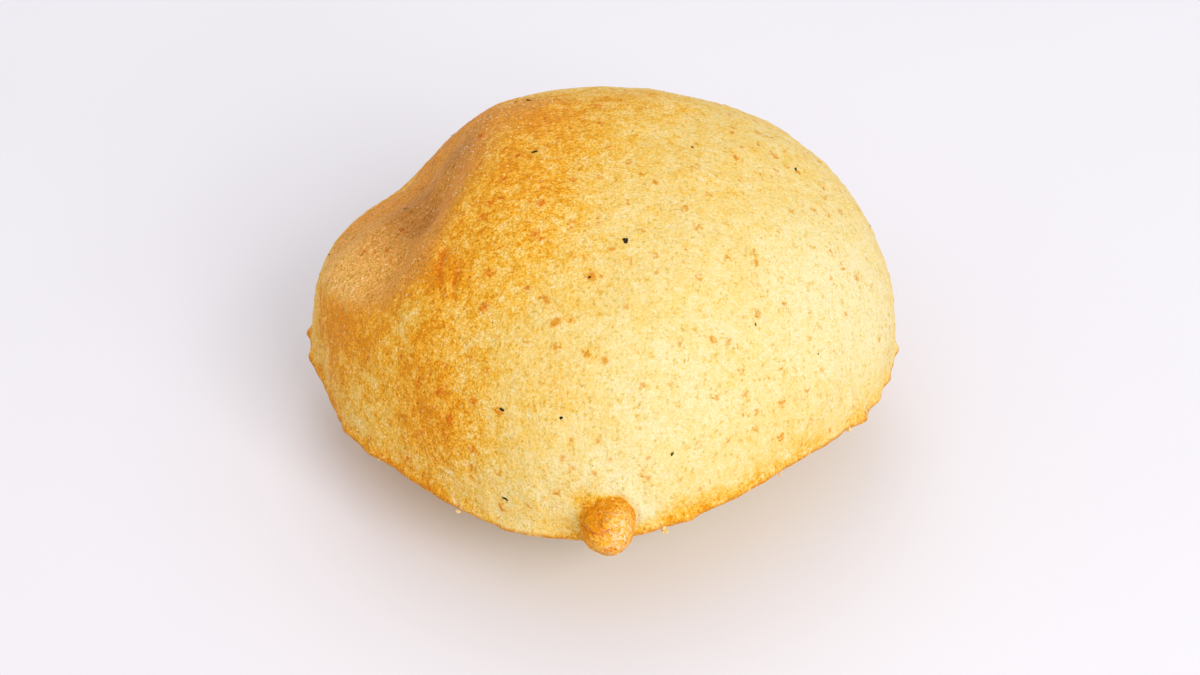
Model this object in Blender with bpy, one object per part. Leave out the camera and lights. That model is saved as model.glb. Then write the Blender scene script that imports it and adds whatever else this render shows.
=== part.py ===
"""A bhatura: one round of leavened dough, rolled flat, fried and puffed up like a balloon.

The rolled sheet is a square grid of cells bent into a disc. Its top skin rises into the dome and its
underside into a shallow bowl, and the two meet in the browned, craggy seam round the widest part. The dome is
pressed in along a broad trough behind its left shoulder. One blister the size of a thumb's end stands out of
the front of the seam, and a few dark specks of spice lie baked into the top skin.
Metres, +Z up. The origin is on the table, under the middle of the bread's box; the front is -Y.
"""
import math
import random

import bmesh
import bpy
import numpy as np
from mathutils import Matrix, Vector, noise

# Driving dimensions, in metres unless named otherwise
SEAM_RADIUS = 0.1137        # mean radius of the seam, seen from above
SEAM_HEIGHT = 0.038         # seam above the table
DOME_RISE = 0.096           # crown above the seam
CROWN_BACK = 0.0015         # crown behind the middle of the seam
CELLS = 50                  # cells along each side of the rolled sheet
CROWDING = 1.25             # how the cells crowd towards the seam; 1 is evenly

# The seam's outline and height are a circle with a few slow waves: (waves a turn, size, degrees)
SEAM_OUTLINE_WAVES = ((1, 0.011, 58.0), (2, 0.012, 0.0), (3, 0.016, 87.0), (4, 0.033, -14.0))   # of SEAM_RADIUS
SEAM_HEIGHT_WAVES = ((1, 0.0039, -14.0), (2, 0.0026, -7.0), (3, 0.0043, 100.0), (4, 0.0029, 172.0))

# How full each skin is: 2 is an ellipse, more is squarer
DOME_FULLNESS = 2.22
BOWL_POWER = 2.1
BOWL_PRESS = 0.004          # how much lower the underside would hang if the table did not flatten it

# The trough: a saddle pressed into the thin shell, hollow across and crowned along its level length
TROUGH_AZIMUTH = 172.0      # degrees, of the way the trough faces
TROUGH_ELEVATION = 44.4     # degrees
TROUGH_FLOOR = 0.0968       # from the middle of the seam to the middle of its floor
TROUGH_ACROSS = 0.25        # radius of the floor across the trough
TROUGH_ALONG = 0.255        # radius of the floor along the trough
TROUGH_SOFTNESS = 0.0020    # how softly its edge rolls over

# Local swellings of the skin, and hollows where the height is negative: (azimuth and elevation in degrees from
# the middle of the seam, reach, height)
SWELLS = (
    (176.0, 30.0, 0.012, 0.0020),       # crest of the lobe below the trough
    (184.0, 22.0, 0.014, 0.0025),       # front of the lobe
    (184.0, 43.0, 0.016, -0.0075),      # valley between the lobe and the shoulder
    (197.0, 33.0, 0.011, -0.0050),      # near end of the valley
    (160.0, 36.0, 0.018, -0.0040),      # far stretch of the valley
    (147.0, 20.0, 0.021, -0.0055),      # where the valley runs out at the back
    (176.0, 55.0, 0.012, -0.0020),      # foot of the shoulder
    (214.0, 0.0, 0.018, 0.0020),        # left of the front
    (193.0, 0.0, 0.014, -0.0020),       # waist of the left end
    (216.0, 47.0, 0.005, -0.0014),      # crease where the valley ends
)
SKIN_LUMPS = ((0.034, 0.0013), (0.014, 0.0005))    # slow unevenness of the skin: (scale, height)

# The seam's lip and its crags
LIP_DEPTH = 0.0011          # how far the lip stands out of the skins
LIP_HALF_HEIGHT = 0.0026
CRAG_SCALE = 0.0065         # spacing of the crags along the lip
CRAG_DEPTH = 0.0016
CRAG_DRAW = 7.0             # where in the noise the crags are read
NUB_HALF_WIDTH = 0.0022
NUBS = ((-4.0, 0.0016), (-13.0, 0.0022), (-20.0, 0.0014), (-27.0, 0.0026), (-73.0, 0.0022), (176.0, 0.0016),
        (183.0, 0.0024), (207.0, 0.0012), (252.0, 0.0014))     # (azimuth in degrees, how far it stands out)

# The blister on the front of the seam
BLISTER_RADIUS = 0.0100
BLISTER_TALLER = 1.08       # its height over its width
BLISTER_AZIMUTH = -88.6     # degrees
BLISTER_ABOVE_SEAM = 0.0085     # its middle above the seam
BLISTER_OUTSIDE = 0.0030        # and outside it
BLISTER_NECK = 0.016        # length of the neck that runs back into the bread
BLISTER_FLARE = 0.55        # how much wider the neck is at its root
BLISTER_FACING = (0.05, -0.80, 0.60)    # the way its puckered end faces
BLISTER_RING = 40.0         # degrees from that facing to the groove round its end
BLISTER_RING_WIDTH = 10.0   # degrees
BLISTER_RING_DEPTH = 0.0008
BLISTER_LUMPS = (1.7, 0.0008)   # lumps in a radius, and their height

# Dark specks of spice: the large ones by place, (share of the way down from the crown to the seam, azimuth in
# degrees, length, width, turn in degrees), the small ones scattered evenly over the top skin
LARGE_SPECKS = (
    (0.285, 280.0, 0.0030, 0.0023, 20.0),
    (0.44, 7.0, 0.0026, 0.0012, 75.0),
    (0.30, 121.0, 0.0042, 0.0012, 0.0),
    (0.12, 192.0, 0.0032, 0.0011, 10.0),
    (0.71, 250.0, 0.0026, 0.0012, 60.0),
    (0.93, 252.0, 0.0028, 0.0010, 30.0),
)
SMALL_SPECKS = 12
SMALL_SPECK_REACH = 0.9     # share of the way to the seam that they are scattered over
SMALL_SPECK_LENGTH = (0.0014, 0.0020)
SMALL_SPECK_WIDTH = (0.5, 0.8)  # of its length
SMALL_SPECK_STRAY = 20.0    # degrees off an even scatter
SPECK_DRAW = 11             # seed of the small specks' places
SPECK_STANDS_OUT = 0.0004
SPECK_THICKNESS = 0.0014

CRUST_COLOUR = (0.83, 0.52, 0.17, 1.0)
SPECK_COLOUR = (0.03, 0.02, 0.015, 1.0)


def waves(theta, table):
    """Sum of the waves in the table at the angles theta."""
    return sum(size * np.cos(turns * theta - math.radians(phase)) for turns, size, phase in table)


def facing(azimuth, elevation):
    """Unit vector of a direction given in degrees."""
    azimuth, elevation = math.radians(azimuth), math.radians(elevation)
    level = math.cos(elevation)
    return np.array([math.cos(azimuth) * level, math.sin(azimuth) * level, math.sin(elevation)])


def field(points, scale, offset):
    """Smooth noise from -1 to 1 at the points."""
    flat = points.reshape(-1, 3) / scale + offset
    return np.array([noise.noise(Vector(place)) for place in flat]).reshape(points.shape[:-1])


def rolled_sheet(cells):
    """The grid's points on the unit disc, as radius and angle, each (cells + 1) x (cells + 1)."""
    line = np.linspace(-1.0, 1.0, cells + 1)
    a, b = np.meshgrid(line, line, indexing="ij")
    wide = np.abs(a) > np.abs(b)
    radius = np.where(wide, np.abs(a), np.abs(b))
    safe_a = np.where(a == 0.0, 1.0, a)
    safe_b = np.where(b == 0.0, 1.0, b)
    theta = np.where(
        wide,
        np.where(a < 0.0, math.pi, 0.0) + math.pi / 4 * b / safe_a,
        np.where(b < 0.0, -math.pi / 2, math.pi / 2) - math.pi / 4 * a / safe_b,
    )
    return 1 - (1 - radius) ** CROWDING, np.where(radius > 0.0, theta, 0.0)


def over_disc(out, theta, height):
    """Points at the share out of the way to the seam, raised by the given height from the seam's level."""
    reach = SEAM_RADIUS * out * (1 + out ** 2 * waves(theta, SEAM_OUTLINE_WAVES))
    z = SEAM_HEIGHT + out ** 3 * waves(theta, SEAM_HEIGHT_WAVES) + height
    return np.stack([reach * np.cos(theta), reach * np.sin(theta), z], axis=-1)


def dome(radius, theta):
    """The top skin: a squarish half ellipsoid with a trough, swells and lumps, and the lip at its foot."""
    angle = radius * math.pi / 2
    out = np.sin(angle) ** (2 / DOME_FULLNESS)
    up = np.cos(angle).clip(0.0) ** (2 / DOME_FULLNESS)
    shell = over_disc(out, theta, DOME_RISE * up)
    shell[..., 1] += CROWN_BACK * up
    return uneven(pressed_in(shell)) + lip(theta, DOME_RISE * up)


def bowl(radius, theta):
    """The underside, a shallow bowl flattened on the table."""
    drop = (SEAM_HEIGHT + BOWL_PRESS) * (1 - radius ** BOWL_POWER)
    shell = over_disc(radius, theta, -drop)
    points = uneven(shell) + lip(theta, drop)
    points[..., 2] = np.where(shell[..., 2] < 0.0, 0.0, points[..., 2].clip(0.0))
    return points


def pressed_in(points):
    """The shell beyond the trough's saddle, pressed back onto it."""
    inward = -facing(TROUGH_AZIMUTH, TROUGH_ELEVATION)
    along = facing(TROUGH_AZIMUTH + 90.0, 0.0)
    across = np.cross(inward, along)
    place = points - (0.0, 0.0, SEAM_HEIGHT)
    floor = TROUGH_FLOOR + (place @ across) ** 2 / (2 * TROUGH_ACROSS) - (place @ along) ** 2 / (2 * TROUGH_ALONG)
    beyond = -place @ inward - floor
    depth = TROUGH_SOFTNESS * np.logaddexp(0.0, beyond / TROUGH_SOFTNESS)
    return points + depth[..., None] * inward


def uneven(points):
    """The skin with its local swells and its slow lumps."""
    place = points - (0.0, 0.0, SEAM_HEIGHT)
    distance = np.linalg.norm(place, axis=-1, keepdims=True)
    outward = place / distance
    height = sum(size * field(points, scale, turn) for turn, (scale, size) in enumerate(SKIN_LUMPS))
    for azimuth, elevation, reach, size in SWELLS:
        arc = np.arccos((outward @ facing(azimuth, elevation)).clip(-1.0, 1.0)) * SEAM_RADIUS
        height = height + size * np.exp(-(arc / reach) ** 2)
    return points + height[..., None] * outward


def lip(theta, away):
    """How far the craggy lip stands out at the angles theta, at the given heights away from the seam."""
    outward = np.stack([np.cos(theta), np.sin(theta), np.zeros_like(theta)], axis=-1)
    crag = field(outward, CRAG_SCALE / SEAM_RADIUS, CRAG_DRAW)
    depth = LIP_DEPTH + CRAG_DEPTH * crag
    for azimuth, size in NUBS:
        turn = (theta - math.radians(azimuth) + math.pi) % (2 * math.pi) - math.pi
        depth = depth + size * np.exp(-(turn * SEAM_RADIUS / NUB_HALF_WIDTH) ** 2)
    depth = depth * np.exp(-(away / LIP_HALF_HEIGHT) ** 2)
    return depth[..., None] * outward


def bread_mesh(cells):
    """Points and four-sided faces of both skins, joined along the seam."""
    radius, theta = rolled_sheet(cells)
    top = dome(radius, theta)
    under = bowl(radius, theta)
    side = cells + 1
    top_index = np.arange(side * side).reshape(side, side)
    under_index = top_index.copy()
    under_index[1:-1, 1:-1] = side * side + np.arange((side - 2) ** 2).reshape(side - 2, side - 2)
    points = np.concatenate([top.reshape(-1, 3), under[1:-1, 1:-1].reshape(-1, 3)])
    return points, np.concatenate([cell_faces(top_index), cell_faces(under_index)[:, ::-1]])


def cell_faces(index):
    """The corners of each cell of a grid of point numbers."""
    corners = [index[:-1, :-1], index[1:, :-1], index[1:, 1:], index[:-1, 1:]]
    return np.stack(corners, axis=-1).reshape(-1, 4)


def mesh_object(name, points, faces, material, collection):
    mesh = bpy.data.meshes.new(name)
    mesh.from_pydata([tuple(place) for place in points], [], [tuple(face) for face in faces])
    mesh.materials.append(material)
    made = bpy.data.objects.new(name, mesh)
    collection.objects.link(made)
    return made


def ball(name, detail, shape, material, collection):
    """A ball of triangles, each of whose unit directions the shape turns into a place."""
    build = bmesh.new()
    bmesh.ops.create_icosphere(build, subdivisions=detail, radius=1.0)
    places = [shape(vert.co.normalized()) for vert in build.verts]
    faces = [[vert.index for vert in face.verts] for face in build.faces]
    build.free()
    return mesh_object(name, places, faces, material, collection)


def blister_middle():
    outward = facing(BLISTER_AZIMUTH, 0.0)
    theta = np.array([math.radians(BLISTER_AZIMUTH)])
    seam = over_disc(np.ones(1), theta, np.zeros(1))[0]
    return Vector(seam + BLISTER_OUTSIDE * outward + (0.0, 0.0, BLISTER_ABOVE_SEAM))


def add_blister(material, collection):
    """The blister: a small ball on a flaring neck, with a shallow groove round its puckered end."""
    middle = blister_middle()
    outward = Vector(facing(BLISTER_AZIMUTH, 0.0))
    end = Vector(BLISTER_FACING).normalized()

    def shape(direction):
        behind = max(-direction.dot(outward), 0.0)
        across = direction - direction.dot(outward) * outward
        across.z *= BLISTER_TALLER
        turned = math.degrees(direction.angle(end))
        groove = BLISTER_RING_DEPTH * math.exp(-((turned - BLISTER_RING) / BLISTER_RING_WIDTH) ** 2)
        lump = BLISTER_LUMPS[1] * noise.noise(direction * BLISTER_LUMPS[0])
        radius = BLISTER_RADIUS - groove + lump
        reach = radius * max(direction.dot(outward), 0.0) - BLISTER_NECK * behind
        return middle + outward * reach + across * radius * (1.0 + BLISTER_FLARE * behind)

    ball("blister", 3, shape, material, collection)


def skin_place(share, azimuth):
    """A point of the top skin and the axes there: towards the seam, along it, and outward."""
    step, turn = 0.01, 1.0
    radius = np.array([share, share + step, share])
    theta = np.radians([azimuth, azimuth, azimuth + turn])
    here, lower, beside = (Vector(place) for place in dome(radius, theta))
    down = (lower - here).normalized()
    outward = down.cross(beside - here).normalized()
    return here, down, outward.cross(down), outward


def add_speck(name, share, azimuth, length, width, turn, material, collection):
    """One speck: a flat oval scrap, mostly sunk in the skin."""
    here, down, beside, outward = skin_place(share, azimuth)
    frame = Matrix((down, beside, outward)).transposed() @ Matrix.Rotation(math.radians(turn), 3, "Z")
    middle = here + outward * (SPECK_STANDS_OUT - SPECK_THICKNESS / 2)
    half = Vector((length / 2, width / 2, SPECK_THICKNESS / 2))
    ball(name, 1, lambda direction: middle + frame @ (direction * half), material, collection)


def add_specks(material, collection):
    for number, speck in enumerate(LARGE_SPECKS):
        add_speck(f"large_speck_{number}", *speck, material, collection)
    draw = random.Random(SPECK_DRAW)
    golden_turn = 180.0 * (3.0 - math.sqrt(5.0))
    for number in range(SMALL_SPECKS):
        share = SMALL_SPECK_REACH * math.sqrt((number + draw.random()) / SMALL_SPECKS)
        azimuth = number * golden_turn + draw.uniform(-SMALL_SPECK_STRAY, SMALL_SPECK_STRAY)
        length = draw.uniform(*SMALL_SPECK_LENGTH)
        width = length * draw.uniform(*SMALL_SPECK_WIDTH)
        turn = draw.uniform(0.0, 180.0)
        add_speck(f"small_speck_{number}", share, azimuth, length, width, turn, material, collection)


def fuse(bread, pieces):
    """Joins the collection's pieces to the bread and removes them."""
    union = bread.modifiers.new("union", "BOOLEAN")
    union.operation = "UNION"
    union.operand_type = "COLLECTION"
    union.collection = pieces
    union.material_mode = "TRANSFER"
    graph = bpy.context.evaluated_depsgraph_get()
    joined = bpy.data.meshes.new_from_object(bread.evaluated_get(graph))
    joined.name = bread.name
    bread.modifiers.clear()
    bread.data = joined
    for piece in list(pieces.objects):
        bpy.data.objects.remove(piece)
    bpy.data.collections.remove(pieces)


def stand_on_origin(bread):
    """Moves the mesh so that the middle of its box is over the origin."""
    corners = [Vector(corner) for corner in bread.bound_box]
    middle = sum(corners, Vector()) / len(corners)
    bread.data.transform(Matrix.Translation((-middle.x, -middle.y, 0.0)))


def principled(name, colour, roughness):
    material = bpy.data.materials.new(name)
    material.use_nodes = True
    shader = material.node_tree.nodes["Principled BSDF"]
    shader.inputs["Base Color"].default_value = colour
    shader.inputs["Roughness"].default_value = roughness
    shader.inputs["Metallic"].default_value = 0.0
    return material


def main():
    for obj in list(bpy.data.objects):
        bpy.data.objects.remove(obj)
    crust = principled("crust", CRUST_COLOUR, 0.62)
    spice = principled("spice", SPECK_COLOUR, 0.7)
    scene = bpy.context.scene.collection
    bread = mesh_object("bhatura", *bread_mesh(CELLS), crust, scene)
    pieces = bpy.data.collections.new("fused pieces")
    scene.children.link(pieces)
    add_blister(crust, pieces)
    add_specks(spice, pieces)
    fuse(bread, pieces)
    stand_on_origin(bread)
    bread.data.shade_smooth()
    bread.data.set_sharp_from_angle(angle=math.radians(50.0))


main()
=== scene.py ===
"""The looks of the bhatura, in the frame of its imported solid.

The bread is shaped again by the rule that shapes its solid, a rolled sheet puffed into a dome and a bowl,
with five times as many cells each way, so that its fine relief is real: lumps, tiny bubbles, pleats,
creases and the flaky lip of the seam. The blister is a mesh of its own, joined to the bread by a union.
Metres and degrees, +Z up, front towards -Y.
"""
import math
import random

import bmesh
import bpy
import numpy as np
from mathutils import Matrix, Vector, kdtree, noise


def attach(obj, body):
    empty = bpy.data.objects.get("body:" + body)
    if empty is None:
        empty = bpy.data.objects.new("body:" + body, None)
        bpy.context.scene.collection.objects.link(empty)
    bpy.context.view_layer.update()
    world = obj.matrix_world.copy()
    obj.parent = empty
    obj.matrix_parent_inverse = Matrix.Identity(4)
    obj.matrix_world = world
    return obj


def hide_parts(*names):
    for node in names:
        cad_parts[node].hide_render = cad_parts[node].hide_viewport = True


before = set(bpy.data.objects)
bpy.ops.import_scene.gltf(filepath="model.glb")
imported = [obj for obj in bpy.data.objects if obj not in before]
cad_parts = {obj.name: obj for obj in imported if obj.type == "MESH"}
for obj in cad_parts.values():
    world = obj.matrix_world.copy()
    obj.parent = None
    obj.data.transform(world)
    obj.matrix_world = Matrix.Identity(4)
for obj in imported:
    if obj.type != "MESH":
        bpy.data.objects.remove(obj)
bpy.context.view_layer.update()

# The form, which is the solid's with a finer lip and blister, measured from the middle of the seam
SEAM_MIDDLE = (-0.0004, 0.0066, 0.0)  # on the floor under it, in the part's frame
SEAM_RADIUS = 0.1137  # mean radius of the seam, seen from above
SEAM_HEIGHT = 0.038  # seam above the table
DOME_RISE = 0.096  # crown above the seam
CROWN_BACK = 0.0015  # crown behind the middle of the seam
CROWDING = 1.25  # how the cells crowd towards the seam; 1 is evenly
# Waves of its outline, in SEAM_RADIUS, and of its height: (waves a turn, size, degrees)
SEAM_OUTLINE_WAVES = ((1, 0.011, 58), (2, 0.012, 0), (3, 0.016, 87), (4, 0.033, -14))
SEAM_HEIGHT_WAVES = ((1, 0.0039, -14), (2, 0.0026, -7), (3, 0.0043, 100), (4, 0.0029, 172))
DOME_FULLNESS = 2.22  # 2 is an ellipse, more is squarer
BOWL_POWER = 2.1
BOWL_PRESS = 0.004  # how far the table presses the underside up
TROUGH_AZIMUTH = 172.0  # of the way the trough faces
TROUGH_ELEVATION = 44.4
TROUGH_FLOOR = 0.0968  # from the middle of the seam to the middle of its floor
TROUGH_ACROSS = 0.25  # radius of its floor across it
TROUGH_ALONG = 0.255  # and along it
TROUGH_SOFTNESS = 0.0020  # how softly its edge rolls over
SWELLS = (  # (azimuth, elevation, reach, height)
    (176, 30, 0.012, 0.0020),  # crest of the lobe below the trough
    (184, 22, 0.014, 0.0025),  # front of the lobe
    (184, 43, 0.016, -0.0075),  # valley between the lobe and the shoulder
    (197, 33, 0.011, -0.0050),  # near end of the valley
    (160, 36, 0.018, -0.0040),  # far stretch of the valley
    (147, 20, 0.021, -0.0055),  # where the valley runs out at the back
    (176, 55, 0.012, -0.0020),  # foot of the shoulder
    (214, 0, 0.018, 0.0020),  # left of the front
    (193, 0, 0.014, -0.0020),  # waist of the left end
    (216, 47, 0.005, -0.0014),  # crease where the valley ends
)
SKIN_LUMPS = ((0.034, 0.0013), (0.014, 0.0005))  # slow unevenness of the skin: (scale, height)
LIP_DEPTH = 0.0011  # how far the lip stands out of the skins
LIP_HALF_HEIGHT = 0.0026
CRAG_SCALE = 0.0065  # spacing of the crags along the lip
CRAG_DEPTH = 0.0009
CRAG_DRAW = 7.0  # where in the noise the crags are read
NUBS = (  # (azimuth, how far it stands out, half width)
    (-4, 0.0019, 0.0028), (-13, 0.0012, 0.0040), (-20, 0.0006, 0.0040), (-27, 0.0026, 0.0042),
    (-73, 0.0016, 0.0030), (176, 0.0026, 0.0026), (183, 0.0014, 0.0040), (207, 0.0009, 0.0030),
    (252, 0.0010, 0.0030),
)
BLISTER_RADIUS = 0.0100
BLISTER_TALLER = 1.08  # its height over its width
BLISTER_AZIMUTH = -88.6
BLISTER_ABOVE_SEAM = 0.0085  # its middle above the seam
BLISTER_OUTSIDE = 0.0030  # and outside it
BLISTER_NECK = 0.016  # length of the neck that runs back into the bread
BLISTER_FLARE = 0.35  # how much wider the neck is at its root
BLISTER_LUMPS = (1.7, 0.0008)  # lumps in a radius, and their height
LARGE_SPECKS = (  # (share of the way from the crown to the seam, azimuth, length, width, turn)
    (0.285, 280, 0.0030, 0.0023, 20),
    (0.44, 7, 0.0026, 0.0012, 75),
    (0.30, 121, 0.0042, 0.0012, 0),
    (0.12, 192, 0.0032, 0.0011, 10),
    (0.71, 250, 0.0026, 0.0012, 60),
    (0.93, 252, 0.0028, 0.0010, 30),
)
SPECK_SCATTERS = (  # (count, share of the way to the seam, lengths, widths in them, first azimuth)
    (12, 0.9, (0.0014, 0.0020), (0.5, 0.8), 0.0),
    (18, 1.0, (0.00035, 0.0007), (0.5, 1.0), 40.0),  # pinheads, which only the looks have
)
SPECK_STRAY = 20.0  # degrees off an even scatter
SPECK_DRAW = 11  # seed of the scattered specks
SPECK_STANDS_OUT = 0.0004
SPECK_THICKNESS = 0.0014  # at most

# The fine relief that only the looks have. Each DRAW is where its noise is read, or a seed.
CELLS = 264  # cells along each side of the top skin's sheet; the underside has half as many
# Where the trough's edge is softened, as (azimuth, elevation, reach), the rounds, and the step of each
RELAXED = ((190, 46, 0.020), (178, 57, 0.014))
RELAXING = 40
RELAXING_STEP = 0.5
FINE_LUMPS = ((0.0085, 0.00020), (0.0038, 0.00015))  # (scale, height)
FINE_DRAW = 40.0
RELIEF_CLEAR = 0.0012  # the relief fades out this near to the seam
BUBBLES = 2400  # tiny bubbles of the fried skin
BUBBLE_REACH = (0.0009, 0.0022)
BUBBLE_HEIGHT = 0.21  # of its reach, at most
BUBBLE_LOWEST = 0.4  # of that
BUBBLE_STEEP = 1.5
BUBBLE_DRAW = 5
PLEAT_SPACING = 0.0060  # along the seam
PLEAT_LENGTH = 0.030  # up the flank
PLEAT_DEPTH = 0.0005
PLEAT_DRAW = 3.0
CREASES = (  # (azimuth and elevation of one end, of the other, half width, depth)
    (210.5, 48, 225.5, 38.5, 0.0016, 0.0007),  # left streak where the trough ends
    (220.5, 48.5, 230, 37.5, 0.0014, 0.0005),  # right streak beside it
    (280.5, 4.6, 293, 2.9, 0.0011, 0.0009),  # fold above the seam, right of the blister
    (277.2, 3.5, 272.8, 13.5, 0.0012, -0.0011),  # welt right of the blister, a ridge
    (318, 3.5, 338, 3, 0.0010, 0.0004),  # from here, faint folds above the right of the seam
    (322, 5.5, 346, 5, 0.0011, 0.0004),
    (337, 7.5, 354, 7, 0.0011, 0.0004),
)
STREAKS = 2  # how many of these, from the first, are toasted
CREASE_STRAY = (0.012, 0.0012)  # how the creases wander: (over what length, how far)
CREASE_DRAW = 60.0
CREASE_BESIDE = (0.5, 1.8)  # the low ridges beside a crease: (height in its depth, half widths from it)
FLAKES = (((0.0022, 0.0007), 0.00018), ((0.0042, 0.0011), 0.00030))  # ((along the seam, across it), depth)
FLAKE_DRAW = 20.0
SEAM_ROUNDING = 4  # rounds of smoothing that take the knife's edge off the seam
WELT_REACH = 1.27  # from the blister's middle to the welt that hugs it, in its radii
WELT_SIDE = 32.0  # degrees above the level, to the right, of the welt's middle
WELT_SPREAD = 42.0  # degrees to either side of that
WELT_HALF_WIDTH = 0.0012
WELT_HEIGHT = 0.0010
ROOT_SIDE = 140.0  # degrees, likewise, of where the blister's root swells out of the flank
ROOT_SPREAD = 60.0  # degrees to either side of that
ROOT_HEIGHT = 0.0030
ROOT_REACH = 0.0030
ROOT_POWER = 1.5  # of its fall; 2 is a bell
NEAR_BLISTER = 0.02  # how far in front of and behind the blister welt and root reach
UPPER_LOBE = (-0.37, -0.28, 0.89)  # the way the blister's upper lobe faces
FOLD_FROM_LOBE = 48.0  # degrees from its middle to the fold below it
FOLD_WIDTH = 5.0  # degrees
FOLD_DEPTH = 0.0010
FOLD_SIDE = 305.0  # degrees round the lobe, from the right, to where the fold is deepest
FOLD_SWAYS = ((4.0, 2, 40.0), (2.0, 5, 0.0))  # how it sways: (degrees, times a turn, phase)
FOLD_BULGE = 0.6  # swelling above it, in its depth
BLISTER_CAP = ((0.06, -0.63, 0.77), 17, 0.0007)  # (the way it faces, reach in degrees, height)
BLISTER_DETAIL = 6  # how often its ball's triangles are split
BLISTER_WRINKLES = ((5.0, 0.00028), (12.0, 0.00012))  # (in a radius, height)
BLISTER_WRINKLE_DRAW = 5.0

# Browning of the skin, from 0, pale, to 1, deep orange. A few of its patches are painted highlights
# instead.
BROWNING_BASE = 0.21
BROWNING_AND_HIGHLIGHT_PATCHES = (  # (azimuth, elevation, reach, browning)
    (196, 40, 0.055, 0.73),  # round the trough
    (219, 43.5, 0.009, 0.33),  # under the streaks
    (226, 32, 0.030, 0.18),  # where the trough ends
    (218, 32, 0.007, -0.30),  # paler patch left of the streaks: painted highlight
    (236, 16, 0.026, 0.51),  # left of the front
    (196, 16, 0.026, 0.49),  # below the lobe
    (132, 64, 0.022, 0.44),  # far edge, left of the crown
    (80, 66, 0.022, 0.24),  # far edge behind the crown
    (62, 58, 0.020, 0.14),
    (174, 80, 0.038, 0.36),  # crown
    (118, 72, 0.028, 0.16),  # behind the crown
    (230, 68, 0.020, 0.21),  # left of the crown
    (196, 66, 0.014, 0.06),
    (242, 43, 0.013, 0.09),
    (40, 64, 0.014, 0.10),  # far edge, right of the crown
    (250, 56, 0.026, 0.18),  # left of the crown, towards the front
    (262, 29, 0.016, 0.12),  # below that
    (288, 26, 0.028, -0.12),  # middle of the front
    (350, 62, 0.050, 0.11),  # right of the crown
    (332, 32, 0.038, -0.22),  # right flank
    (348, 16, 0.026, -0.13),  # right end
    (310, 3.5, 0.020, 0.14),  # above the seam, right of the front
    (272.5, 13, 0.014, -0.14),  # above the blister
    (267.8, 8, 0.0046, 0.55),  # the blister's root
    (277.6, 5, 0.006, -0.36),  # welt on its other side: paler skin, partly painted highlight
    (261, 2, 0.012, 0.10),  # left of the blister
    (283, 4.2, 0.005, 0.26),  # fold right of the blister
    (289, 3.2, 0.006, 0.28),
    (227, 5, 0.022, 0.17),  # above the seam, left of the front
    (60, 25, 0.050, 0.25),  # back
    (140, 24, 0.036, 0.50),  # behind the trough
    (127, 44, 0.026, 0.30),  # above that
    (154, 10, 0.030, 0.25),  # below it
    (112, 54, 0.024, 0.12),  # high on the back
    (110, 10, 0.040, 0.20),  # low on the back
    (20, -20, 0.060, 0.25),  # underside
    (200, -25, 0.070, 0.25),
)
PRESSED_RANGE = (0.0004, 0.0024)  # depth over which the trough's skin turns tan
TAN_FULL = 0.0060  # more depth than this makes no difference
SANDY_PLACES = (  # (azimuth, elevation, reach, depth of a press that would tan it as much)
    (145, 60, 0.022, 0.0018),
    (178, 61, 0.015, 0.0012),
    (124, 57, 0.018, 0.0012),
    (142, 14, 0.032, -0.0075),  # where the trough's tan fades instead
)
LOBE_PLACE = (188, 20, 0.032)  # (azimuth, elevation, reach) of the lobe's front: a lighter tan
# (azimuth, elevation, reach) of the trough's bottom, where its tan is darkened with painted shade
SHADED_VALLEY_PLACES = ((182, 40, 0.015), (168, 38, 0.016), (158, 52, 0.012))
SEAM_BROWNING = 0.42
SEAM_BROWNED_TO = 0.0062
SEAM_RAGGED = (0.016, 0.6, 31.0)  # how it varies along the seam: (scale, share, draw)
SEAM_PALE = ((-2, 0.034), (-37, 0.013), (255, 0.018))  # (azimuth, reach) of where it stayed pale
TOASTED_SPOTS = (  # (azimuth, elevation, half width) of the largest blotches
    (271, 34.6, 0.0020), (275, 57.5, 0.0014), (267, 51.4, 0.0018), (256, 63.8, 0.0016),
    (330, 87.5, 0.0020), (301, 34.1, 0.0015), (237, 66.3, 0.0026), (259, 41.4, 0.0020),
    (235, 47.5, 0.0022), (255, 45.3, 0.0018), (279, 29.6, 0.0014), (243, 23, 0.0022),
    (238, 17.6, 0.0022), (231, 11.4, 0.0022), (218, 57, 0.0024), (238, 40.6, 0.0022),
    (234, 21.8, 0.0024), (243, 58.8, 0.0024), (10, 57.7, 0.0014),
    (171, 36.4, 0.0013), (174, 37.3, 0.0012), (176, 33, 0.0014), (186, 30, 0.0013),
    (272, 16.3, 0.0010), (269, 13.8, 0.0012), (263, 16.4, 0.0014), (264.5, 20, 0.0010),
    (279, 12.3, 0.0012), (279, 16.1, 0.0010), (285, 10.5, 0.0010), (289, 7.4, 0.0011),
    (277, 44.7, 0.0014), (267, 51, 0.0014), (258, 41, 0.0013), (289, 36, 0.0012),
)
BLISTER_BROWNING = 0.89
BLISTER_BROWNING_AND_HIGHLIGHT_PATCHES = (  # (the way it faces, reach in degrees, browning)
    ((-0.58, -0.28, 0.76), 34, 0.46),  # deeply browned upper left
    ((-0.86, -0.51, -0.03), 16, 0.22),  # left edge
    ((0.57, -0.62, 0.54), 26, -0.36),  # pale right
    ((0.06, -0.63, 0.77), 13, -0.12),  # cap, paler: painted highlight
    ((0.10, -0.98, -0.06), 22, 0.07),  # lower lobe
    ((0.00, -0.97, -0.24), 9, 0.36),  # its two spots
    ((-0.50, -0.86, -0.10), 10, 0.18),
)
BLISTER_BLUSH = (  # (the way it faces, reach in degrees, strength) of its mottled cream patches
    ((0.56, -0.66, 0.50), 34, 0.9),
    ((0.34, -0.92, -0.20), 34, 0.6),
)
BLISTER_TOAST = 0.65  # how toasted the bottom of its fold is
BLISTER_BLEND = (0.0003, 0.0016)  # half width of its looks' passing into the bread's, sharp and soft
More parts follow.
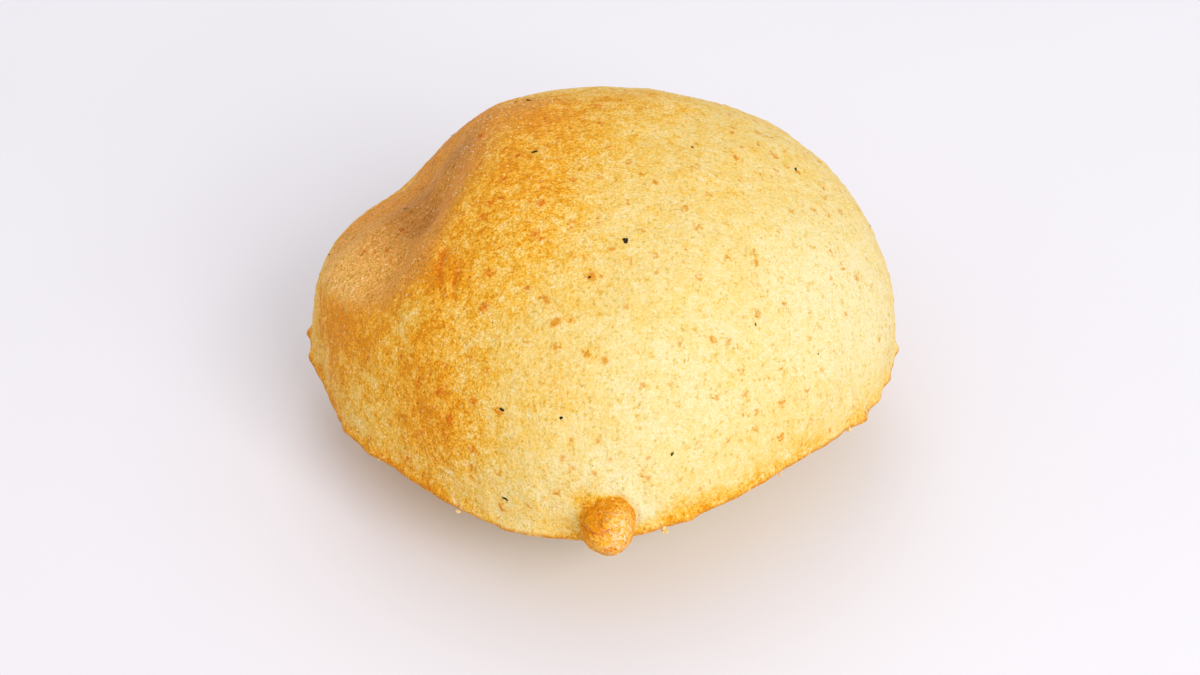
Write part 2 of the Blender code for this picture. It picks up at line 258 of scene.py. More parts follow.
BLISTER_SOFT = ((-0.70, 0.10, 0.70), 65)  # (the way it faces, reach in degrees) of where that is soft

# Colours, linear
BROWNED = (  # (browning, colour)
    (0.0, (0.785, 0.668, 0.355, 1.0)),
    (0.2, (0.785, 0.603, 0.232, 1.0)),
    (0.4, (0.81, 0.53, 0.130, 1.0)),
    (0.6, (0.815, 0.45, 0.056, 1.0)),
    (0.8, (0.81, 0.365, 0.016, 1.0)),
    (1.0, (0.75, 0.262, 0.003, 1.0)),
)
LOBE_TAN = (0.84, 0.45, 0.100, 1.0)
DENT_TAN = (0.72, 0.285, 0.026, 1.0)
# painted shade: the tan darkened at the trough's bottom
VALLEY_SHADE_TAN = (0.54, 0.218, 0.034, 1.0)
TOASTED = (0.85, 0.50, 0.12, 1.0)  # this and the next two tint the skin under them
GOLDEN = (0.87, 0.75, 0.34, 1.0)
OCHRE = (0.81, 0.72, 0.36, 1.0)
SEAM_BROWN = (0.58, 0.21, 0.015, 1.0)
PALE_GOLD = (0.88, 0.66, 0.30, 1.0)
BLUSH = (0.86, 0.57, 0.27, 1.0)
SPICE = ((0.012, 0.007, 0.003, 1.0), (0.10, 0.065, 0.030, 1.0))  # from the first to the second
# pale grains, partly painted glints of oil
PALE_GRAIN_AND_GLINT = ((0.92, 0.80, 0.56, 1.0), (0.88, 0.72, 0.42, 1.0))
CRUMB = ((0.84, 0.66, 0.36, 1.0), (0.815, 0.45, 0.056, 1.0))

# Grain and flecks of the skin, in metres. Of four numbers, something changes from the third to the fourth
# as its cause goes from the first to the second.
# (scale, how much it changes the browning)
GRAIN_LAYERS = ((0.012, 0.52), (0.0060, 0.58), (0.0032, 0.66), (0.0017, 0.62), (0.0010, 0.72))
GRAIN_ON_BROWNED = (0.15, 0.75, 0.52, 1.30)  # how that goes with the browning
GRAIN_NOISE = (2.5, 0.62)  # detail and roughness of the layers' noise
CRISP_GRAIN = 0.0007  # scale of the finest grain, which only darkens and lightens
WRINKLES_RUN = (0.707, 0.436, 0.557)  # the way the fine wrinkles in the trough run
WRINKLES_DRAWN = 0.75  # how much they are drawn out that way
WRINKLES_SCALE = 0.0014
SAND_STRENGTH = (0.14, 0.74, 1.0)  # how strongly each darkens: (pale skin, browned skin, tan skin)
CRISP_STRENGTH = (0.32, 1.00, 1.6)
WRINKLES_STRENGTH = (0.0, 0.0, 0.7)
STRENGTH_RANGE = (0.2, 0.7)  # browning from pale skin to browned skin
GRAIN_POWERS = (("Red", 0.75), ("Green", 1.1), ("Blue", 3.2))  # dark grains are browner too
DARKER_RED = 0.18  # how much of its red the browner mottling loses
TAN_RAGGED = 0.004  # how far the grain moves the tan's edge, in depth of press
TOAST_RAGGED = 0.8  # how much the grain changes the toasting
TOAST_RANGE = (0.12, 1.0)
FLECK_WARPS = ((0.0045, 0.0014), (0.0012, 0.0005))  # how the flecks' outlines wander: (scale, how far)
FLECKS = (  # (spacing, share of places with one, largest radius, softness, strength, colour)
    (0.0020, 0.6, 0.0008, 0.0004, 1.00, OCHRE),
    (0.0034, 0.6, 0.0013, 0.0011, 1.00, GOLDEN),
    (0.0027, 0.5, 0.0010, 0.0007, 0.80, OCHRE),
    (0.0052, 0.5, 0.0022, 0.0019, 1.00, TOASTED),
)
FLECKS_ON_BROWNED = (0.05, 0.40, 0.90, 1.0)  # their strength with the browning
PALE_DOTS = (0.0022, 0.6, 0.0007, 0.0005)
DOTS_ON_BROWNED = (0.3, 0.8, 0.1, 0.65)  # likewise
BLUSH_RANGE = (0.44, 0.58)  # of the noise that mottles it
LIP_EDGE = (0.0024, 0.0004)  # distance from the seam over which the skin turns seam brown
LIP_EDGE_RAGGED = (0.3, 0.6, 0.3, 0.9)  # and how much of it, with the grain
SKIN_ROUGHNESS = (0.52, 0.70)
SKIN_BUMP = 0.0005  # height of the finest layer's bumps
SKIN_BUMP_NEXT = 1.5  # height of the next layer's, in that

# Scraps on the skin
GRAIN_AND_GLINT_PATCHES = (  # (share of the way to the seam, azimuth, spread, count) of pale grains, which partly paint glints of oil
    (0.36, 128, 0.006, 16), (0.27, 118, 0.005, 8), (0.22, 112, 0.003, 3), (0.30, 160, 0.012, 34),
    (0.30, 185, 0.010, 20), (0.40, 172, 0.010, 16), (0.225, 279, 0.001, 2),
)
GRAIN_SIZE = (0.00035, 0.0007)
GRAIN_UNEVEN = (0.6, 1.2)  # its three sizes, as shares of that
GRAIN_STANDS_OUT = 0.3  # its middle above the skin, in its half thickness
GRAINS_DRAW = 3
FLANK_LENGTH = 1.4  # way along the skin from crown to seam, in seam radii
CRUMBS = (  # (azimuth, radius) along the seam
    (-78.3, 0.0012), (-31, 0.0008), (-52, 0.0007), (-118, 0.0007), (-141, 0.0008), (60, 0.0009),
    (115, 0.0008),
)
CRUMB_OUTSIDE = 0.0004  # its middle outside the lip
CRUMB_ABOVE = (-0.0005, 0.001)  # and above the seam
CRUMB_UNEVEN = (0.8, 1.3)  # its three half sizes, in its radius
CRUMBS_DRAW = 8
SCRAP_LUMPS = 1.6  # lumps in a radius of grain, crumb or speck
SCRAP_DRAWS = 50.0  # how far apart their draws lie in the noise

# Camera, floor and light
CAMERA_AIM = (-0.0004, 0.0066, 0.040)
CAMERA_DISTANCE = 0.886
CAMERA_ELEVATION = 38.0  # degrees above the horizon, looking along +Y
CAMERA_LENS = 65.0  # mm
CAMERA_SENSOR = 36.0  # mm wide
FLOOR_SIZE = 8.0
FLOOR_COLOUR = (0.805, 0.782, 0.835, 1.0)
FLOOR_DARKER = 0.97  # its darker patches, as a share of that
LIGHT_AIM = (0.0, 0.0, 0.05)
LIGHT_DISTANCE = 2.6
LIGHT_SIZE = 1.5
LAMPS = (("key", -56.0, 32.0, 42.5), ("back", 95.0, 52.0, 8.0))  # (name, azimuth, elevation, power)
STUDIO_LIGHT = 0.78  # even light from all round


def waves(theta, table):
    """Sum of the waves in the table at the angles theta."""
    return sum(size * np.cos(turns * theta - math.radians(phase)) for turns, size, phase in table)


def facing(azimuth, elevation):
    """Unit vector of a direction given in degrees."""
    azimuth, elevation = math.radians(azimuth), math.radians(elevation)
    ahead = math.cos(elevation)
    return np.array([math.cos(azimuth) * ahead, math.sin(azimuth) * ahead, math.sin(elevation)])


def bell(off):
    """1 at 0, towards 0 beyond 1 to either side."""
    return np.exp(-off ** 2)


def unit(vectors):
    return vectors / np.linalg.norm(vectors, axis=-1, keepdims=True)


def level(theta):
    """Level unit vectors at the angles theta."""
    return np.stack([np.cos(theta), np.sin(theta), np.zeros_like(theta)], axis=-1)


def field(points, scale, offset):
    """Smooth noise from -1 to 1 at the points."""
    flat = points.reshape(-1, 3) / scale + offset
    return np.array([noise.noise(Vector(place)) for place in flat]).reshape(points.shape[:-1])


def rolled_sheet(cells):
    """The grid's points on the unit disc, as radius and angle, each (cells + 1) x (cells + 1)."""
    line = np.linspace(-1.0, 1.0, cells + 1)
    a, b = np.meshgrid(line, line, indexing="ij")
    wide = np.abs(a) > np.abs(b)
    radius = np.where(wide, np.abs(a), np.abs(b))
    safe_a = np.where(a == 0.0, 1.0, a)
    safe_b = np.where(b == 0.0, 1.0, b)
    theta = np.where(
        wide,
        np.where(a < 0.0, math.pi, 0.0) + math.pi / 4 * b / safe_a,
        np.where(b < 0.0, -math.pi / 2, math.pi / 2) - math.pi / 4 * a / safe_b,
    )
    return 1 - (1 - radius) ** CROWDING, np.where(radius > 0.0, theta, 0.0)


def over_disc(out, theta, height):
    """Points at the share out of the way to the seam, at the given height over its level."""
    reach = SEAM_RADIUS * out * (1 + out ** 2 * waves(theta, SEAM_OUTLINE_WAVES))
    z = SEAM_HEIGHT + out ** 3 * waves(theta, SEAM_HEIGHT_WAVES) + height
    return np.stack([reach * np.cos(theta), reach * np.sin(theta), z], axis=-1)


def on_seam(azimuth):
    """The point of the seam at an azimuth in degrees."""
    return over_disc(np.ones(1), np.array([math.radians(azimuth)]), np.zeros(1))[0]


def pressed_depth(points):
    """How far the trough presses the shell back at the points, and the way it presses."""
    inward = -facing(TROUGH_AZIMUTH, TROUGH_ELEVATION)
    along = facing(TROUGH_AZIMUTH + 90.0, 0.0)
    across = np.cross(inward, along)
    place = points - (0.0, 0.0, SEAM_HEIGHT)
    hollow = (place @ across) ** 2 / (2 * TROUGH_ACROSS)
    crowned = (place @ along) ** 2 / (2 * TROUGH_ALONG)
    beyond = -place @ inward - (TROUGH_FLOOR + hollow - crowned)
    return TROUGH_SOFTNESS * np.logaddexp(0.0, beyond / TROUGH_SOFTNESS), inward


def from_middle(points):
    """Distance and direction of the points from the middle of the seam."""
    place = points - (0.0, 0.0, SEAM_HEIGHT)
    distance = np.linalg.norm(place, axis=-1)
    return distance, place / distance[..., None]


def patch(outward, azimuth, elevation, reach):
    """A soft round patch of the skin: 1 in its middle, towards 0 beyond its reach."""
    arc = np.arccos((outward @ facing(azimuth, elevation)).clip(-1.0, 1.0)) * SEAM_RADIUS
    return bell(arc / reach)


def patches(outward, table, start=0.0):
    """The start value and the table's patches, each (azimuth, elevation, reach, size), added up."""
    return sum((size * patch(outward, *place) for *place, size in table), start)


def uneven(points):
    """The skin with its local swells and its slow lumps."""
    outward = from_middle(points)[1]
    height = sum(size * field(points, scale, turn) for turn, (scale, size) in enumerate(SKIN_LUMPS))
    return points + patches(outward, SWELLS, height)[..., None] * outward


def lip(theta, away):
    """How far the craggy lip stands out at the angles theta and the heights away from the seam."""
    outward = level(theta)
    depth = LIP_DEPTH + CRAG_DEPTH * field(outward, CRAG_SCALE / SEAM_RADIUS, CRAG_DRAW)
    for azimuth, size, half_width in NUBS:
        turn = (theta - math.radians(azimuth) + math.pi) % (2 * math.pi) - math.pi
        depth = depth + size * bell(turn * SEAM_RADIUS / half_width)
    depth = depth * bell(away / LIP_HALF_HEIGHT)
    return depth[..., None] * outward


def streaks(theta, away, along, across, offset):
    """Noise with one scale along the seam and another away from it."""
    ring = [np.cos(theta) * SEAM_RADIUS / along, np.sin(theta) * SEAM_RADIUS / along, away / across]
    return field(np.stack(ring, axis=-1), 1.0, offset)


def flakes(theta, away):
    """Thin flakes along the lip, one over another."""
    height = sum(depth * streaks(theta, away, *scales, FLAKE_DRAW + number)
                 for number, (scales, depth) in enumerate(FLAKES))
    return height * bell(away / (2 * LIP_HALF_HEIGHT))


def pleats(theta, away):
    """Shallow pleats that run up the flank from the seam."""
    pleat = streaks(theta, away, PLEAT_SPACING, PLEAT_LENGTH, PLEAT_DRAW)
    return PLEAT_DEPTH * pleat * bell(away / PLEAT_LENGTH)


def near_creases(points, table):
    """Each crease's strength at the points, its distance in half widths, and its depth."""
    over, stray = CREASE_STRAY
    wander = np.stack([field(points, over, CREASE_DRAW + axis) for axis in range(3)], axis=-1) * stray
    distance, outward = from_middle(points + wander)
    for azimuth, elevation, end_azimuth, end_elevation, half_width, depth in table:
        start = facing(azimuth, elevation)
        run = facing(end_azimuth, end_elevation) - start
        share = ((outward - start) @ run / (run @ run)).clip(0.0, 1.0)
        off = np.linalg.norm(outward - start - share[..., None] * run, axis=-1) * distance / half_width
        yield 4 * share * (1 - share), off, depth


def creases(points):
    """The creases: wandering grooves, or ridges where the depth is negative, between two low ridges."""
    beside, place = CREASE_BESIDE
    return sum(fade * (beside * abs(depth) * bell(off - place) - depth * bell(off))
               for fade, off, depth in near_creases(points, CREASES))


def grid_normals(points):
    """Unit normals of a grid of points, upward on the top skin."""
    return unit(np.cross(np.gradient(points, axis=0), np.gradient(points, axis=1)))


def tree_of(points):
    tree = kdtree.KDTree(len(points))
    for index, place in enumerate(points):
        tree.insert(place, index)
    tree.balance()
    return tree


def bubbles(points, count, draw):
    """Heights of tiny bubbles scattered over the points."""
    flat = points.reshape(-1, 3)
    tree = tree_of(flat)
    height = np.zeros(len(flat))
    for _ in range(count):
        middle = flat[draw.randrange(len(flat))]
        reach = draw.uniform(*BUBBLE_REACH)
        size = BUBBLE_HEIGHT * reach * draw.uniform(BUBBLE_LOWEST, 1.0)
        for _, index, distance in tree.find_range(middle, 2 * reach):
            height[index] = max(height[index], size * math.exp(-BUBBLE_STEEP * (distance / reach) ** 2))
    return height.reshape(points.shape[:-1])


def relief(points, theta, away, normal, count, draw):
    """The skin with its fine relief, which leaves the seam itself alone."""
    height = sum(size * field(points, scale, FINE_DRAW + number)
                 for number, (scale, size) in enumerate(FINE_LUMPS))
    height = height + bubbles(points, count, draw) + pleats(theta, away)
    height = height + creases(points) + flakes(theta, away)
    height = height * (1 - bell(away / RELIEF_CLEAR))
    return points + height[..., None] * normal


def blister_middle():
    """The middle of the blister's ball."""
    outside = BLISTER_OUTSIDE * facing(BLISTER_AZIMUTH, 0.0)
    return on_seam(BLISTER_AZIMUTH) + outside + (0.0, 0.0, BLISTER_ABOVE_SEAM)


def round_blister(points):
    """The flank round the blister: a welt that hugs its right side, its root swelling on the left."""
    outward = facing(BLISTER_AZIMUTH, 0.0)
    place = points - blister_middle()
    beside = place @ facing(BLISTER_AZIMUTH + 90.0, 0.0)
    rise = place[..., 2] / BLISTER_TALLER
    reach = np.hypot(beside, rise)
    side = np.degrees(np.arctan2(rise, beside))
    near = bell((place @ outward + BLISTER_OUTSIDE) / NEAR_BLISTER)
    welt = WELT_HEIGHT * bell((side - WELT_SIDE) / WELT_SPREAD)
    welt = welt * bell((reach - WELT_REACH * BLISTER_RADIUS) / WELT_HALF_WIDTH)
    turn = (side - ROOT_SIDE + 180.0) % 360.0 - 180.0
    root = ROOT_HEIGHT * bell(turn / ROOT_SPREAD)
    root = root * np.exp(-((reach - BLISTER_RADIUS).clip(0.0) / ROOT_REACH) ** ROOT_POWER)
    return points + (near * (welt + root))[..., None] * outward


def relaxed(points):
    """The skin with the edge of the trough softened by evening out its grid."""
    outward = from_middle(points)[1]
    share = sum(patch(outward, *place) for place in RELAXED).clip(0.0, 1.0)
    share = RELAXING_STEP * share[1:-1, 1:-1, None]
    for _ in range(RELAXING):
        beside = (points[:-2, 1:-1] + points[2:, 1:-1] + points[1:-1, :-2] + points[1:-1, 2:]) / 4
        points[1:-1, 1:-1] += share * (beside - points[1:-1, 1:-1])
    return points


def top_skin(radius, theta):
    """Points of the top skin, their height above the seam, and how far the trough pressed them in."""
    angle = radius * math.pi / 2
    out = np.sin(angle) ** (2 / DOME_FULLNESS)
    away = DOME_RISE * np.cos(angle).clip(0.0) ** (2 / DOME_FULLNESS)
    shell = over_disc(out, theta, away)
    shell[..., 1] += CROWN_BACK * away / DOME_RISE
    depth, inward = pressed_depth(shell)
    skin = relaxed(uneven(shell + depth[..., None] * inward))
    points = relief(skin, theta, away, grid_normals(skin), BUBBLES, random.Random(BUBBLE_DRAW))
    return round_blister(points + lip(theta, away)), away, depth


def under_skin(radius, theta):
    """Points of the underside, a bowl flattened on the table, and how far it hangs below the seam."""
    drop = (SEAM_HEIGHT + BOWL_PRESS) * (1 - radius ** BOWL_POWER)
    shell = over_disc(radius, theta, -drop)
    skin = uneven(shell)
    points = relief(skin, theta, drop, -grid_normals(skin), BUBBLES // 2, random.Random(BUBBLE_DRAW + 1))
    points = points + lip(theta, drop)
    points[..., 2] = np.where(shell[..., 2] < 0.0, 0.0, points[..., 2].clip(0.0))
    return points, drop


def cell_faces(index):
    """The corners of each cell of a grid of point numbers."""
    corners = [index[:-1, :-1], index[1:, :-1], index[1:, 1:], index[:-1, 1:]]
    return np.stack(corners, axis=-1).reshape(-1, 4)


def bread_faces():
    """Faces of both skins. The outer edges of the underside's coarser cells take in the seam's points
    half way along them."""
    half = CELLS // 2
    side = CELLS + 1
    top_index = np.arange(side * side).reshape(side, side)
    under_index = top_index[::2, ::2].copy()
    under_index[1:-1, 1:-1] = side * side + np.arange((half - 1) ** 2).reshape(half - 1, half - 1)
    between = {}
    for line in (top_index[0], top_index[-1], top_index[:, 0], top_index[:, -1]):
        for start, middle, end in zip(line[:-2:2], line[1:-1:2], line[2::2]):
            between[start, end] = between[end, start] = middle
    faces = [tuple(face) for face in cell_faces(top_index)]
    for face in cell_faces(under_index)[:, ::-1]:
        corners = []
        for here, after in zip(face, np.roll(face, -1)):
            corners.append(here)
            if (here, after) in between:
                corners.append(between[here, after])
        faces.append(tuple(corners))
    return faces


def browning_and_highlights_at(points, theta, away):
    """Browning of the skin: its patches, a few of them painted highlights, and a ragged band along the
    seam.
    """
    outward = from_middle(points)[1]
    scale, varying, draw = SEAM_RAGGED
    band = 1 + varying * field(level(theta), scale / SEAM_RADIUS, draw)
    for azimuth, reach in SEAM_PALE:
        band = band * (1 - patch(outward, azimuth, 0.0, reach))
    band = SEAM_BROWNING * band * bell(away / SEAM_BROWNED_TO)
    return BROWNING_BASE + patches(outward, BROWNING_AND_HIGHLIGHT_PATCHES) + band


def toast_at(points):
    """How toasted the skin is: the streaks where the trough ends, and the largest blotches."""
    toast = sum(fade * bell(off) for fade, off, _ in near_creases(points, CREASES[:STREAKS]))
    outward = from_middle(points)[1]
    return sum((patch(outward, *spot) for spot in TOASTED_SPOTS), toast)


def mesh_object(name, points, faces, material):
    mesh = bpy.data.meshes.new(name)
    mesh.from_pydata([tuple(place) for place in points], [], faces)
    mesh.materials.append(material)
    mesh.shade_smooth()
    made = bpy.data.objects.new(name, mesh)
    bpy.context.scene.collection.objects.link(made)
    return made


def points_of(mesh):
    flat = np.empty(3 * len(mesh.vertices), np.float32)
    mesh.vertices.foreach_get("co", flat)
    return flat.reshape(-1, 3).astype(float)


def round_seam(mesh, away):
    """Takes the knife's edge off the seam."""
    build = bmesh.new()
    build.from_mesh(mesh)
    build.verts.ensure_lookup_table()
    near = [build.verts[index] for index in np.flatnonzero(away < LIP_HALF_HEIGHT)]
    for _ in range(SEAM_ROUNDING):
        bmesh.ops.smooth_vert(
            build, verts=near, factor=0.5, use_axis_x=True, use_axis_y=True, use_axis_z=True,
        )
    build.to_mesh(mesh)
    build.free()


def ball(detail):
    """Unit directions and faces of a ball of triangles."""
    build = bmesh.new()
    bmesh.ops.create_icosphere(build, subdivisions=detail, radius=1.0)
    directions = unit(np.array([vert.co[:] for vert in build.verts]))
    faces = [tuple(vert.index for vert in face.verts) for face in build.faces]
    build.free()
    return directions, faces


def around(directions, middle):
    """Degrees from the middle direction, and the turn round it in degrees, from the right."""
    middle = unit(np.array(middle, float))
    side = unit(np.cross((0.0, 0.0, 1.0), middle))
    above = np.cross(middle, side)
    turned = np.degrees(np.arccos((directions @ middle).clip(-1.0, 1.0)))
    return turned, np.degrees(np.arctan2(directions @ above, directions @ side))


def blister_patch(directions, middle, reach):
    """A soft round patch of the blister, its reach in degrees."""
    return bell(around(directions, middle)[0] / reach)


def blister_fold(directions):
    """Depth of the fold below the blister's upper lobe, and height of the swelling above the fold."""
    turned, spin = around(directions, UPPER_LOBE)
    sways = (size * np.sin(np.radians(spin * often + phase)) for size, often, phase in FOLD_SWAYS)
    off = turned - sum(sways, FOLD_FROM_LOBE)
    deep = FOLD_DEPTH * (0.5 + 0.5 * np.cos(np.radians(spin - FOLD_SIDE)))
    bulge = FOLD_BULGE * deep * bell((off + 2 * FOLD_WIDTH) / (2 * FOLD_WIDTH))
    return deep * bell(off / FOLD_WIDTH), bulge


def blister_shape(directions):
    """Points of the blister: a small ball on a flaring neck."""
    outward = facing(BLISTER_AZIMUTH, 0.0)
    ahead = directions @ outward
    behind = (-ahead).clip(0.0)
    across = directions - ahead[:, None] * outward
    across[:, 2] *= BLISTER_TALLER
    fold, bulge = blister_fold(directions)
    often, size = BLISTER_LUMPS
    lump = size * field(directions, 1 / often, 0.0)
    wrinkles = sum(size * field(directions, 1 / often, BLISTER_WRINKLE_DRAW + often)
                   for often, size in BLISTER_WRINKLES)
    middle, wide, high = BLISTER_CAP
    cap = high * blister_patch(directions, middle, wide)
    radius = BLISTER_RADIUS - fold + bulge + cap + lump + wrinkles
    reach = radius * ahead.clip(0.0) - BLISTER_NECK * behind
    flaring = (radius * (1 + BLISTER_FLARE * behind))[:, None]
    return blister_middle() + reach[:, None] * outward + across * flaring


def union(bread, piece):
    """Joins the piece to the bread and removes it."""
    join = bread.modifiers.new("union", "BOOLEAN")
    join.operation = "UNION"
    join.solver = "MANIFOLD"
    join.object = piece
    joined = bpy.data.meshes.new_from_object(bread.evaluated_get(bpy.context.evaluated_depsgraph_get()))
    joined.name = bread.name
    bread.modifiers.clear()
    bread.data = joined
    bpy.data.objects.remove(piece)


def blended(points, bread, blister, softness):
    """How far the looks at the points are the blister's, and the nearest points of both."""
    found = [[tree.find(place)[1:] for place in points] for tree in (tree_of(bread), tree_of(blister))]
    (from_bread, off_bread), (from_blister, off_blister) = (zip(*pairs) for pairs in found)
    from_bread, from_blister = np.array(from_bread), np.array(from_blister)
    sharp, soft = BLISTER_BLEND
    half_width = sharp + (soft - sharp) * softness[from_blister]
    share = 0.5 + (np.array(off_bread) - np.array(off_blister)) / (2 * half_width)
    return share.clip(0.0, 1.0), from_bread, from_blister


def add_bread(material):
    """The bread, and the grid of its top skin for what lies on it."""
    sheet = rolled_sheet(CELLS)
    under_sheet = rolled_sheet(CELLS // 2)
    top, away, depth = top_skin(*sheet)
    under, drop = under_skin(*under_sheet)
    inner = (slice(1, -1), slice(1, -1))
    points = np.concatenate([top.reshape(-1, 3), under[inner].reshape(-1, 3)])
    theta = np.concatenate([sheet[1].ravel(), under_sheet[1][inner].ravel()])
    away = np.concatenate([away.ravel(), drop[inner].ravel()])
    depth = np.concatenate([depth.ravel(), np.zeros(drop[inner].size)])
    bread = mesh_object("bread", points, bread_faces(), material)
    round_seam(bread.data, away)
    directions, faces = ball(BLISTER_DETAIL)
    blister = blister_shape(directions)
    piece = mesh_object("blister", blister, faces, material)

    outward = from_middle(points)[1]
    # the blister's browning; its paler cap is a painted highlight
    browned_and_highlights, blush = (sum(size * blister_patch(directions, *place) for *place, size in table)
                      for table in (BLISTER_BROWNING_AND_HIGHLIGHT_PATCHES, BLISTER_BLUSH))
    none = np.zeros(len(directions))
    values = {  # of the bread's points, and of the blister's
        # browning, with the painted highlights of a few of its patches
        "browning_and_highlights": (browning_and_highlights_at(points, theta, away), BLISTER_BROWNING + browned_and_highlights),
        "toast": (toast_at(points), BLISTER_TOAST * blister_fold(directions)[0] / FOLD_DEPTH),
        "pressed": (depth.clip(0.0, TAN_FULL) + patches(outward, SANDY_PLACES), none),
        # where the trough's bottom gets painted shade
        "valley_shade": (sum(patch(outward, *place) for place in SHADED_VALLEY_PLACES).clip(0.0, 1.0), none),
        "lobe": (patch(outward, *LOBE_PLACE), none),
        "away": (away, none + 1.0),  # the blister has no seam
        "blush": (np.zeros(len(points)), blush),
    }
    before = points_of(bread.data)
    union(bread, piece)
    softness = blister_patch(directions, *BLISTER_SOFT)
    share, from_bread, from_blister = blended(points_of(bread.data), before, blister, softness)
    for name, (own, others) in values.items():
        mixed = (1 - share) * own[from_bread] + share * others[from_blister]
        layer = bread.data.attributes.new(name, "FLOAT", "POINT")
        layer.data.foreach_set("value", mixed.astype(np.float32))
    bread.data.transform(Matrix.Translation(SEAM_MIDDLE))
    bread.data.shade_smooth()
    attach(bread, "root")
    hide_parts("bhatura")
    return sheet, top


class Nodes:
    """Adds shader nodes to a material. An input is a value or another node's output."""

    def __init__(self, name):
        self.material = bpy.data.materials.new(name)
        self.material.use_nodes = True
        self.tree = self.material.node_tree
        self.shader = self.tree.nodes["Principled BSDF"]

    def put(self, socket, value):
        if isinstance(value, bpy.types.NodeSocket):
            self.tree.links.new(value, socket)
        else:
            socket.default_value = value

    def add(self, kind, inputs, **settings):
        made = self.tree.nodes.new("ShaderNode" + kind)
        for name, value in settings.items():
            setattr(made, name, value)
        for name, value in inputs.items():
            self.put(made.inputs[name], value)
        return made

    def place(self):
        return self.add("TexCoord", {}).outputs["Object"]

    def value(self, name):
        return self.add("Attribute", {}, attribute_name=name).outputs["Fac"]

    def noise(self, place, size, detail=2.0, roughness=0.5):
        """Noise from 0 to 1 whose features are about size metres."""
        inputs = {"Vector": place, "Scale": 1 / size, "Detail": detail, "Roughness": roughness}
        return self.add("TexNoise", inputs).outputs["Fac"]

    def math(self, operation, first, second):
        return self.add("Math", {0: first, 1: second}, operation=operation).outputs["Value"]

    def times(self, first, second):
        return self.math("MULTIPLY", first, second)

    def plus(self, first, second):
        return self.math("ADD", first, second)

    def vector(self, operation, first, second, output="Vector"):
        second_name = "Scale" if operation == "SCALE" else 1
        made = self.add("VectorMath", {0: first, second_name: second}, operation=operation)
        return made.outputs[output]

    def rise(self, value, low, high, start=0.0, end=1.0):
        """A smooth change from start to end as the value goes from low to high."""
        inputs = {"Value": value, "From Min": low, "From Max": high, "To Min": start, "To Max": end}
        return self.add("MapRange", inputs, interpolation_type="SMOOTHSTEP").outputs["Result"]

    def sway(self, noise, spread):
        """Noise from 0 to 1 as a change to either side of 0."""
        return self.times(self.math("SUBTRACT", noise, 0.5), spread)

    def ramp(self, value, stops):
        made = self.add("ValToRGB", {"Fac": value})
        elements = made.color_ramp.elements
        for position, _ in stops[1:-1]:
            elements.new(position)
        for element, (position, colour) in zip(elements, stops):
            element.position = position
            element.color = colour
        return made.outputs["Color"]

    def mix(self, share, first, second, blend="MIX"):
        made = self.add("Mix", {0: share, 6: first, 7: second}, data_type="RGBA", blend_type=blend)
        return made.outputs[2]

    def warped(self, place, size, far):
        """The place, moved about by noise."""
        drawn = self.add("TexNoise", {"Vector": place, "Scale": 1 / size, "Detail": 1.0}).outputs["Color"]
        moved = self.vector("SUBTRACT", drawn, (0.5, 0.5, 0.5))
        return self.vector("ADD", place, self.vector("SCALE", moved, far))

    def drawn_out(self, place, run, share):
        """The place less a share of its run one way, which draws out noise that way."""
        along = self.vector("DOT_PRODUCT", place, run, "Value")
        return self.vector("SUBTRACT", place, self.vector("SCALE", run, self.times(along, share)))

    def spots(self, place, spacing, share, largest, softness):
        """Scattered round spots. A share of the cells have one, of a random size."""
        cell = self.add("TexVoronoi", {"Vector": place, "Scale": 1 / spacing, "Randomness": 1.0})
        draw = self.add("SeparateColor", {"Color": cell.outputs["Color"]})
        size = self.rise(draw.outputs["Red"], 1 - share, 1.0, 0.0, largest / spacing)
        uneven = self.rise(self.noise(place, 0.6 * largest), low=0.3, high=0.7, start=0.4, end=1.6)
        size = self.times(size, uneven)
        inside = self.math("SUBTRACT", size, cell.outputs["Distance"])
        return self.rise(inside, 0.0, softness / spacing)

    def finish(self, colour, grain, roughness, height=None, bump=0.0, **plain):
        """The material. Its roughness goes over its range with the grain."""
        self.put(self.shader.inputs["Base Color"], colour)
        self.put(self.shader.inputs["Roughness"], self.rise(grain, 0.3, 0.7, *roughness))
        for name, value in plain.items():
            self.shader.inputs[name.replace("_", " ")].default_value = value
        if height is not None:
            made = self.add("Bump", {"Height": height, "Distance": bump, "Strength": 1.0})
            self.put(self.shader.inputs["Normal"], made.outputs["Normal"])
        return self.material


